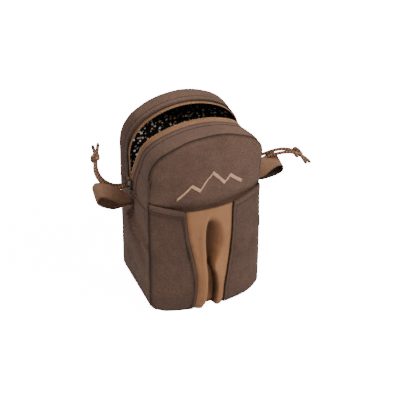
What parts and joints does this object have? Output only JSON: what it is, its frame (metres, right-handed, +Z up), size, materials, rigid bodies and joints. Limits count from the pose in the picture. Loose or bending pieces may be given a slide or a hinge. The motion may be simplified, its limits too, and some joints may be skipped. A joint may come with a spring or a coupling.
{
  "type": "optics harness pouch",
  "caption": "Padded upright pouch for binoculars: arched zip opens a fold-forward front, with a bulged stretch pocket, side loops, cord pulls and back webbing.",
  "frame": {"origin": "middle of the main compartment's base, on the surface that the pouch stands on", "axes": "+Z up, -Y the front face with the pocket, +X to the right of someone facing the front"},
  "size_m": [0.2456, 0.1114, 0.2282],
  "materials": {
    "canvas": "matt woven canvas, dark brown",
    "foam": "closed-cell foam",
    "lining": "smooth black lining with pale flecks",
    "zipper_tape": "tan herringbone tape",
    "zipper_coil": "moulded coil, tan",
    "stretch_knit": "smooth stretch knit, tan",
    "webbing": "ribbed webbing, brown",
    "stiffener_board": "thin board",
    "thread": "satin thread, light tan",
    "thread_bar": "dense bar stitch",
    "slider_metal": "dark bronze paint",
    "cord": "braided cord, mottled brown"
  },
  "bodies": {
    "pouch": {"back_panel": "canvas", "back_foam": "foam", "back_lining": "lining", "front_lower_panel": "canvas", "front_lower_foam": "foam", "front_lower_lining": "lining", "left_side_panel": "canvas", "left_side_foam": "foam", "left_side_lining": "lining", "right_side_panel": "canvas", "right_side_foam": "foam", "right_side_lining": "lining", "base_panel": "canvas", "base_foam": "foam", "base_stiffener": "stiffener_board", "base_lining": "lining", "rear_zip_strip": "canvas", "rear_zip_strip_lining": "lining", "rear_zipper_tape": "zipper_tape", "rear_zipper_coil": "zipper_coil", "pocket_panel_left": "canvas", "pocket_panel_right": "canvas", "pocket_hem_left": "canvas", "pocket_hem_right": "canvas", "pocket_stretch_insert": "stretch_knit", "pocket_floor": "canvas", "side_loop_left": "webbing", "side_loop_right": "webbing", "side_loop_root_left": "webbing", "side_loop_root_right": "webbing", "back_webbing_upper": "webbing", "back_webbing_lower": "webbing", "zip_end_stop_left": "thread_bar", "zip_end_stop_right": "thread_bar"},
    "flap": {"front_upper_panel": "canvas", "front_upper_foam": "foam", "front_upper_lining": "lining", "front_zip_strip": "canvas", "front_zip_strip_lining": "lining", "front_zipper_tape": "zipper_tape", "front_zipper_coil": "zipper_coil", "embroidered_motif": "thread"},
    "left_slider": {"slider_left": "slider_metal"},
    "right_slider": {"slider_right": "slider_metal"},
    "left_pull": {"pull_cord_left_a": "cord", "pull_cord_left_b": "cord", "pull_knot_left": "cord"},
    "right_pull": {"pull_cord_right_a": "cord", "pull_cord_right_b": "cord", "pull_knot_right": "cord"}
  },
  "joints": [
    {"name": "flap_fold", "type": "hinge", "parent": "pouch", "child": "flap", "pos_m": [0, -0.045, 0.14], "axis": [1, 0, 0], "range_deg": [-15, 52]},
    {"name": "left_slider_run", "type": "slide", "parent": "pouch", "child": "left_slider", "axis": [0, 0, 1], "range_m": [0, 0.028]},
    {"name": "right_slider_run", "type": "slide", "parent": "pouch", "child": "right_slider", "axis": [0, 0, 1], "range_m": [0, 0.028]},
    {"name": "left_pull_swing", "type": "hinge", "parent": "left_slider", "child": "left_pull", "pos_m": [-0.0709, 0.009, 0.1395], "axis": [0, 0, 1], "range_deg": [-25, 45]},
    {"name": "right_pull_swing", "type": "hinge", "parent": "right_slider", "child": "right_pull", "pos_m": [0.0709, 0.009, 0.1395], "axis": [0, 0, 1], "range_deg": [-30, 50]}
  ]
}
